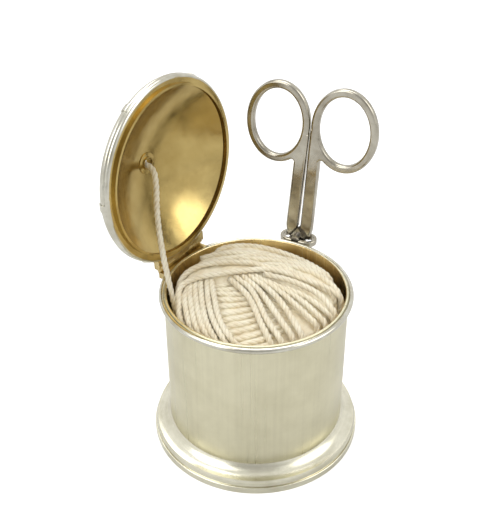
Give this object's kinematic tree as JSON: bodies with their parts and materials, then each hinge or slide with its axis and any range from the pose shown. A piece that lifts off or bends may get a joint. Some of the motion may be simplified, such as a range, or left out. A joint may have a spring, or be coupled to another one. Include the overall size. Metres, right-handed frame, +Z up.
{
  "type": "string box",
  "caption": "Silver string box: footed drum with a hinged dome lid that guides the string up from a ball inside, and scissors standing in a side loop.",
  "frame": {"origin": "bottom centre of the drum's round foot, on the surface it stands on", "axes": "+Z up along the drum's axis; +Y towards the lid's hinge at the back; +X to the side where the scissors stand"},
  "size_m": [0.1085, 0.1203, 0.1694],
  "materials": {
    "silver": "warm sterling silver, softly hand finished, satin with fine vertical marks",
    "polished_silver": "polished silver with light wear",
    "gilt": "old gilding inside the lid and drum, mottled and slightly worn",
    "steel": "ground steel, darkened in the corners",
    "string": "natural undyed twisted cotton string, slightly hairy"
  },
  "bodies": {
    "box": {"foot_ring": "silver", "drum_wall": "silver", "drum_floor": "gilt", "rim_bead": "silver", "drum_bearer": "silver", "drum_knuckles": "silver", "hinge_pin": "silver", "scissor_loop": "silver", "scissor_bracket": "silver", "ball_core": "string", "string_winding": "string", "string_run": "string"},
    "lid": {"lid_crown": "gilt", "lid_flange": "gilt", "lid_bezel": "gilt", "lid_border": "silver", "border_ties": "silver", "lid_bearer": "silver", "lid_knuckle": "silver", "string_guide": "gilt", "string_tail": "string"},
    "scissors_front": {"handle_front": "polished_silver", "blade_front": "steel", "pivot_screw": "steel"},
    "scissors_back": {"handle_back": "polished_silver", "blade_back": "steel"}
  },
  "joints": [
    {"name": "lid_hinge", "type": "hinge", "parent": "box", "child": "lid", "pos_m": [0, 0.04435, 0.0819], "axis": [1, 0, 0], "range_deg": [0, 93.2], "deforming": ["string_run"]},
    {"name": "scissors_lift", "type": "slide", "parent": "box", "child": "scissors_front", "axis": [0.0513, -0.0484, 0.9975], "range_m": [0, 0.075]},
    {"name": "scissors_open", "type": "hinge", "parent": "scissors_front", "child": "scissors_back", "pos_m": [0.04892, 0.00819, 0.0803], "axis": [0.9881, 0.1477, -0.0436], "range_deg": [0, 25]}
  ]
}
